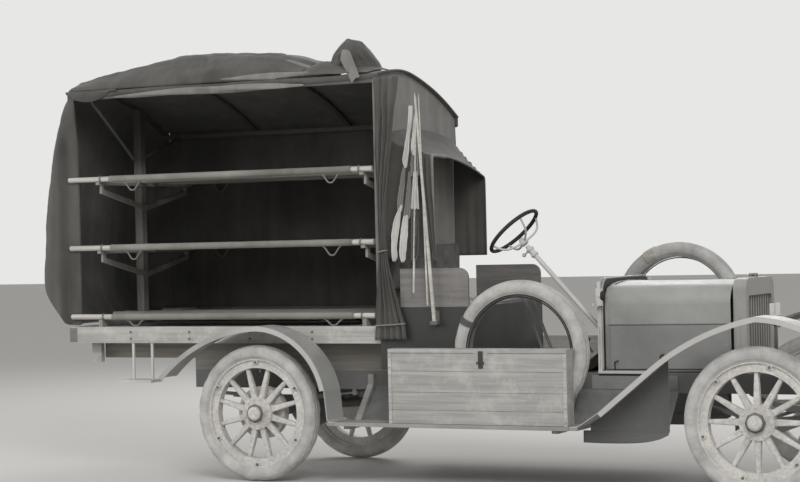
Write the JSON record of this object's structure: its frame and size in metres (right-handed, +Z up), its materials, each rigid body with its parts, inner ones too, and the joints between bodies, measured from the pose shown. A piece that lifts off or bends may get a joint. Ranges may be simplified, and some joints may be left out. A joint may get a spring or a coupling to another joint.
{
  "type": "military ambulance truck",
  "caption": "Open-cab military ambulance truck with wooden spoked wheels, stretchers in tiers under a canvas body, spare tyres and side boxes.",
  "frame": {"origin": "centre of the outline's base, on the ground midway between the ends", "axes": "+X forward, +Y to the vehicle's left, +Z up"},
  "size_m": [5.7009, 1.68, 2.811],
  "materials": {
    "tyre_rubber": "dusty matt pale rubber",
    "wheel_wood": "painted wood, dusty",
    "chassis_paint": "matt dark paint with dust",
    "spring_steel": "dark oiled steel",
    "exhaust_steel": "heat-dulled steel",
    "cast_iron": "raw casting",
    "radiator_metal": "dull painted shell",
    "dark_paint": "dark satin paint, dusty",
    "pale_paint": "pale dusty paint over metal",
    "body_paint": "satin field grey, dusty",
    "fender_paint": "satin paint with dust",
    "rim_paint": "matt paint",
    "rim_black": "dark polished rim",
    "panel_wood": "painted board, worn",
    "plank_wood": "raw dark plank",
    "board_wood": "worn board",
    "box_wood": "weathered planks",
    "sill_wood": "pale painted timber",
    "post_wood": "raw timber",
    "pole_wood": "pale ash pole",
    "bed_canvas": "stretched canvas",
    "canopy_canvas": "heavy dark canvas",
    "bulkhead_canvas": "canvas on boards",
    "seat_leather": "dark worn leather",
    "flag_cloth": "furled plain cloth"
  },
  "bodies": {
    "vehicle": {"front_axle": "chassis_paint", "steering_column": "pale_paint", "frame_rails": "chassis_paint", "cross_members": "chassis_paint", "leaf_springs": "spring_steel", "rear_axle": "chassis_paint", "engine": "cast_iron", "prop_shaft": "chassis_paint", "radiator": "radiator_metal", "dash_board": "dark_paint", "cab_floor": "plank_wood", "seat_box": "dark_paint", "seat_panels": "panel_wood", "seat_cushions": "seat_leather", "hand_levers": "chassis_paint", "rear_fenders": "fender_paint", "front_fenders": "fender_paint", "running_boards": "board_wood", "side_boxes": "box_wood", "spare_tyres": "tyre_rubber", "spare_rims": "rim_paint", "body_floor": "sill_wood", "floor_runners": "plank_wood", "rear_step": "pale_paint", "front_bulkhead": "bulkhead_canvas", "roof_frame": "sill_wood", "stretcher_posts": "post_wood", "stretcher_poles": "pole_wood", "stretcher_beds": "bed_canvas", "canopy_roof": "canopy_canvas", "side_curtain": "canopy_canvas", "rear_curtain": "canopy_canvas", "corner_curtain": "canopy_canvas", "rolled_curtain": "canopy_canvas", "roof_bundle": "canopy_canvas", "cab_hood": "canopy_canvas", "furled_flags": "flag_cloth", "lamp_brackets": "pale_paint", "side_lamps": "pale_paint", "exhaust": "exhaust_steel", "starting_handle": "spring_steel", "bonnet_hinge": "chassis_paint", "pedals": "spring_steel", "fender_stays": "chassis_paint", "side_valances": "chassis_paint"},
    "wheel_front_left": {"wheel_front_left": "wheel_wood", "tyre_front_left": "tyre_rubber"},
    "wheel_front_right": {"wheel_front_right": "wheel_wood", "tyre_front_right": "tyre_rubber"},
    "wheel_rear_left": {"wheel_rear_left": "wheel_wood", "tyre_rear_left": "tyre_rubber"},
    "wheel_rear_right": {"wheel_rear_right": "wheel_wood", "tyre_rear_right": "tyre_rubber"},
    "knuckle_left": {"knuckle_left": "chassis_paint"},
    "knuckle_right": {"knuckle_right": "chassis_paint"},
    "tie_rod": {"tie_rod": "chassis_paint"},
    "steering_wheel": {"steering_wheel": "rim_black"},
    "bonnet_left": {"bonnet_left": "body_paint"},
    "bonnet_right": {"bonnet_right": "body_paint"}
  },
  "joints": [
    {"name": "steer_left", "type": "hinge", "parent": "vehicle", "child": "knuckle_left", "pos_m": [2.27, 0.612, 0.44], "axis": [0, 0, 1], "range_deg": [-25, 25]},
    {"name": "steer_right", "type": "hinge", "parent": "vehicle", "child": "knuckle_right", "pos_m": [2.27, -0.612, 0.44], "axis": [0, 0, 1], "range_deg": [-25, 25]},
    {"name": "tie_rod_swing", "type": "hinge", "parent": "knuckle_left", "child": "tie_rod", "pos_m": [2.12, 0.596, 0.3907], "axis": [0, 0, 1], "range_deg": [-25, 25]},
    {"name": "steering_wheel_turn", "type": "hinge", "parent": "vehicle", "child": "steering_wheel", "pos_m": [0.677, -0.33, 1.505], "axis": [-0.6775, 0, 0.7356], "range_deg": [-250, 250]},
    {"name": "bonnet_left_lift", "type": "hinge", "parent": "vehicle", "child": "bonnet_left", "pos_m": [1.63, 0, 1.249], "axis": [1, 0, 0], "range_deg": [0, 60]},
    {"name": "bonnet_right_lift", "type": "hinge", "parent": "vehicle", "child": "bonnet_right", "pos_m": [1.63, 0, 1.249], "axis": [-1, 0, 0], "range_deg": [0, 60]},
    {"name": "front_left_spin", "type": "hinge", "parent": "knuckle_left", "child": "wheel_front_left", "pos_m": [2.27, 0.71, 0.44], "axis": [0, 1, 0], "continuous": true},
    {"name": "front_right_spin", "type": "hinge", "parent": "knuckle_right", "child": "wheel_front_right", "pos_m": [2.27, -0.71, 0.44], "axis": [0, 1, 0], "continuous": true},
    {"name": "rear_left_spin", "type": "hinge", "parent": "vehicle", "child": "wheel_rear_left", "pos_m": [-1.05, 0.71, 0.44], "axis": [0, 1, 0], "continuous": true},
    {"name": "rear_right_spin", "type": "hinge", "parent": "vehicle", "child": "wheel_rear_right", "pos_m": [-1.05, -0.71, 0.44], "axis": [0, 1, 0], "continuous": true}
  ],
  "couplings": [
    {"joint": "steer_right", "follows": "steer_left", "ratio": 1},
    {"joint": "tie_rod_swing", "follows": "steer_left", "ratio": -1},
    {"joint": "steering_wheel_turn", "follows": "steer_left", "ratio": 10}
  ]
}
